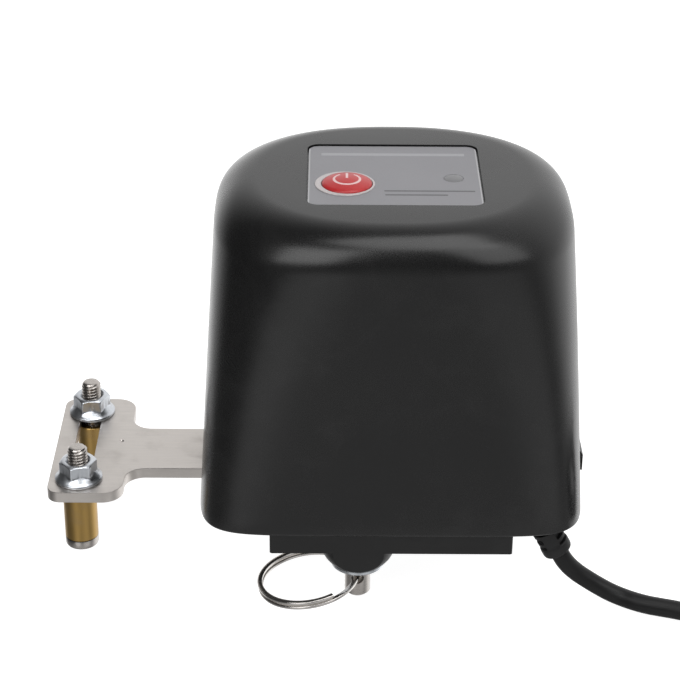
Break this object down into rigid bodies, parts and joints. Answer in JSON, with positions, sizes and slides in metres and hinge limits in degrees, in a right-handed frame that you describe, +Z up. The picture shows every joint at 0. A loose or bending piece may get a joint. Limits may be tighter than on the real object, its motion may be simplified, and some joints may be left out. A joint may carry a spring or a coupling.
{
  "type": "smart valve actuator",
  "caption": "Motorised box that clamps over a pipe and swings a slotted T-shaped lever with brass posts to turn a valve handle, with a pull-ring clutch.",
  "frame": {"origin": "centre of the four bracket holes on the underside of the mounting block", "axes": "+Z up along the output shaft, +X to the right seen from the front, +Y from the front to the back"},
  "size_m": [0.2675, 0.0982, 0.1217],
  "materials": {
    "cover_black": "satin moulded ABS",
    "base_black": "matt moulded plastic",
    "label_grey": "satin printed film",
    "lens_grey": "translucent diffuser",
    "button_red": "glossy domed plastic",
    "board_green": "solder mask",
    "tin_can": "plated sheet",
    "capacitor_blue": "shrink sleeve",
    "terminal_white": "moulded nylon",
    "gear_acetal": "moulded acetal",
    "gear_brass": "machined",
    "steel": "bright machined",
    "pin_steel": "bright turned",
    "plate_nickel": "nickel plated steel",
    "zinc": "zinc plated",
    "brass": "drawn tube",
    "cable_black": "PVC jacket",
    "tie_black": "nylon tie",
    "lead_wires": "insulated wire"
  },
  "bodies": {
    "housing": {"top_cover": "cover_black", "base_frame": "base_black", "cable_gland": "base_black", "motor_end_cap": "base_black", "limit_switches": "base_black", "tact_switch": "base_black", "motor_driver": "base_black", "label_panel": "label_grey", "led_lens": "lens_grey", "status_led": "lens_grey", "control_board": "board_green", "radio_module": "tin_can", "motor_can": "tin_can", "motor_gearhead": "tin_can", "gear_plate": "tin_can", "power_capacitors": "capacitor_blue", "wire_terminals": "terminal_white", "lower_bush": "gear_brass", "upper_bush": "gear_brass", "cover_screws": "steel", "board_screws": "steel", "motor_screws": "steel", "gear_pillars": "steel", "plate_screws": "steel", "intermediate_axle": "steel", "clutch_spring": "steel", "clutch_bush": "pin_steel", "cable_run": "cable_black", "cable_coil": "cable_black", "dc_plug": "cable_black", "coil_tie": "tie_black", "power_lead": "lead_wires", "motor_leads": "lead_wires"},
    "lever_arm": {"output_shaft": "steel", "output_wheel": "gear_acetal", "limit_cam": "base_black", "lever_plate": "plate_nickel", "arm_washer": "steel", "arm_screw": "steel"},
    "front_post": {"front_bolt": "zinc", "front_sleeve": "brass", "front_nut": "zinc"},
    "rear_post": {"rear_bolt": "zinc", "rear_sleeve": "brass", "rear_nut": "zinc"},
    "clutch_slider": {"clutch_pin": "pin_steel", "clutch_clip": "steel"},
    "clutch_wheel": {"clutch_gear": "gear_brass"},
    "intermediate": {"intermediate_gear": "gear_acetal"},
    "motor_rotor": {"motor_shaft": "steel", "motor_pinion": "gear_brass"},
    "pull_ring": {"split_ring": "pin_steel"},
    "button": {"power_button": "button_red", "switch_plunger": "base_black"}
  },
  "joints": [
    {"name": "arm_turn", "type": "hinge", "parent": "housing", "child": "lever_arm", "pos_m": [0, 0.0445, 0], "axis": [0, 0, 1], "range_deg": [-90, 0]},
    {"name": "front_post_slide", "type": "slide", "parent": "lever_arm", "child": "front_post", "axis": [0, 1, 0], "range_m": [0, 0.011]},
    {"name": "rear_post_slide", "type": "slide", "parent": "lever_arm", "child": "rear_post", "axis": [0, -1, 0], "range_m": [0, 0.011]},
    {"name": "clutch_pull", "type": "slide", "parent": "housing", "child": "clutch_slider", "axis": [0, 0, -1], "range_m": [0, 0.006], "stiffness_N_per_m": 800, "springref_m": -0.004, "deforming": ["clutch_spring"]},
    {"name": "clutch_gear_spin", "type": "hinge", "parent": "clutch_slider", "child": "clutch_wheel", "pos_m": [-0.0093, -0.003, 0.0196], "axis": [0, 0, 1], "range_deg": [-660, 3]},
    {"name": "intermediate_spin", "type": "hinge", "parent": "housing", "child": "intermediate", "pos_m": [0.00146, 0.01504, 0.0226], "axis": [0, 0, 1], "range_deg": [-3, 332]},
    {"name": "motor_spin", "type": "hinge", "parent": "housing", "child": "motor_rotor", "pos_m": [-0.02056, 0.0035, 0.0226], "axis": [0, 0, 1], "range_deg": [-3, 772]},
    {"name": "ring_swing", "type": "hinge", "parent": "clutch_slider", "child": "pull_ring", "pos_m": [-0.0093, -0.003, -0.0114], "axis": [0, 1, 0], "range_deg": [-72, 12]},
    {"name": "button_press", "type": "slide", "parent": "housing", "child": "button", "axis": [0, 0, -1], "range_m": [0, 0.0008], "stiffness_N_per_m": 1500, "springref_m": -0.0006}
  ],
  "couplings": [
    {"joint": "intermediate_spin", "follows": "arm_turn", "ratio": -3.5385},
    {"joint": "clutch_gear_spin", "follows": "arm_turn", "ratio": 7.0769},
    {"joint": "motor_spin", "follows": "arm_turn", "ratio": -8.2564}
  ]
}
